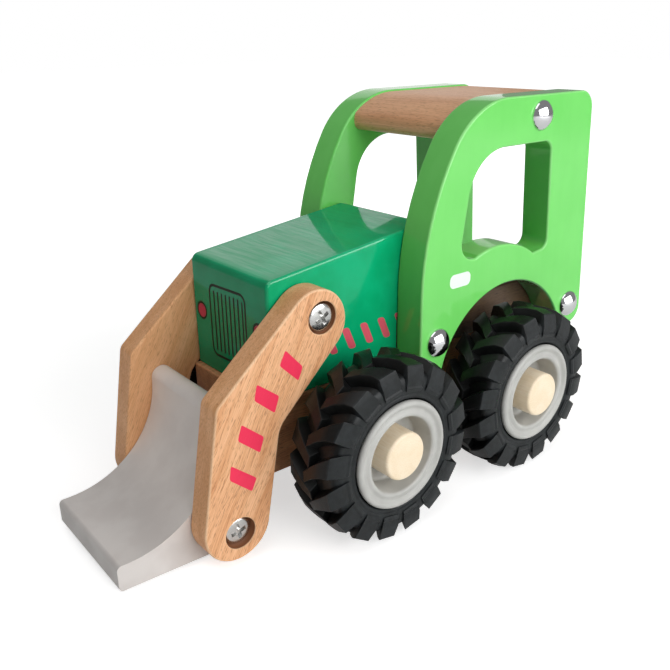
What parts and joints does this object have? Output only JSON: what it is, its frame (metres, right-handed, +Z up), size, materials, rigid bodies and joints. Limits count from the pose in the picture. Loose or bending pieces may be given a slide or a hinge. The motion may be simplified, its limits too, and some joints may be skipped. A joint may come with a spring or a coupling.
{
  "type": "toy bulldozer",
  "caption": "Wooden toy bulldozer: a green hood and open cab on rubber-tyred wheels, with wooden arms that lift a grey tilting blade.",
  "frame": {"origin": "on the ground under the middle of the toy's length and width", "axes": "+X forward to the blade, +Y to the driver's left, +Z up"},
  "size_m": [0.212, 0.1176, 0.1413],
  "materials": {
    "brown_wood": "dark brown stain under a thin satin lacquer",
    "hood_paint": "sea-green gloss lacquer over wood",
    "roof_wood": "brown-pink stained wood, satin lacquer",
    "cab_paint": "light-green gloss lacquer over wood",
    "plain_wood": "plain turned wood",
    "bolt_chrome": "polished domes",
    "steel": "zinc-plated steel",
    "cap_wood": "pale turned beech, satin lacquer",
    "tyre_rubber": "black rubber, satin on the lugs",
    "rim_plastic": "light-grey satin plastic",
    "arm_wood": "natural beech with red painted marks, satin lacquer",
    "blade_paint": "warm grey satin paint over wood"
  },
  "bodies": {
    "body": {"chassis": "brown_wood", "cab_base": "brown_wood", "hood": "hood_paint", "roof": "roof_wood", "cab_panel_left": "cab_paint", "cab_panel_right": "cab_paint", "hood_dowels": "plain_wood", "base_dowels": "plain_wood", "panel_bolts_left": "bolt_chrome", "panel_bolts_right": "bolt_chrome", "front_axle": "steel", "rear_axle": "steel", "axle_spacers": "plain_wood", "lift_pivot_screws": "steel", "hub_cap_front_left": "cap_wood", "hub_cap_front_right": "cap_wood", "hub_cap_rear_left": "cap_wood", "hub_cap_rear_right": "cap_wood"},
    "wheel_front_left": {"tyre_front_left": "tyre_rubber", "rim_front_left": "rim_plastic"},
    "wheel_front_right": {"tyre_front_right": "tyre_rubber", "rim_front_right": "rim_plastic"},
    "wheel_rear_left": {"tyre_rear_left": "tyre_rubber", "rim_rear_left": "rim_plastic"},
    "wheel_rear_right": {"tyre_rear_right": "tyre_rubber", "rim_rear_right": "rim_plastic"},
    "lift_arms": {"lift_arm_left": "arm_wood", "lift_arm_right": "arm_wood"},
    "blade": {"blade": "blade_paint", "blade_pivot_screws": "steel"}
  },
  "joints": [
    {"name": "front_left_wheel_spin", "type": "hinge", "parent": "body", "child": "wheel_front_left", "pos_m": [0.01785, 0.0464, 0.0325], "axis": [0, 1, 0], "continuous": true},
    {"name": "front_right_wheel_spin", "type": "hinge", "parent": "body", "child": "wheel_front_right", "pos_m": [0.01785, -0.0464, 0.0325], "axis": [0, 1, 0], "continuous": true},
    {"name": "rear_left_wheel_spin", "type": "hinge", "parent": "body", "child": "wheel_rear_left", "pos_m": [-0.05415, 0.045, 0.0325], "axis": [0, 1, 0], "continuous": true},
    {"name": "rear_right_wheel_spin", "type": "hinge", "parent": "body", "child": "wheel_rear_right", "pos_m": [-0.05415, -0.045, 0.0325], "axis": [0, 1, 0], "continuous": true},
    {"name": "arm_lift", "type": "hinge", "parent": "body", "child": "lift_arms", "pos_m": [0.03225, 0, 0.0779], "axis": [0, -1, 0], "range_deg": [0, 100]},
    {"name": "blade_tilt", "type": "hinge", "parent": "lift_arms", "child": "blade", "pos_m": [0.06755, 0, 0.012], "axis": [0, -1, 0], "range_deg": [-40, 12]}
  ]
}
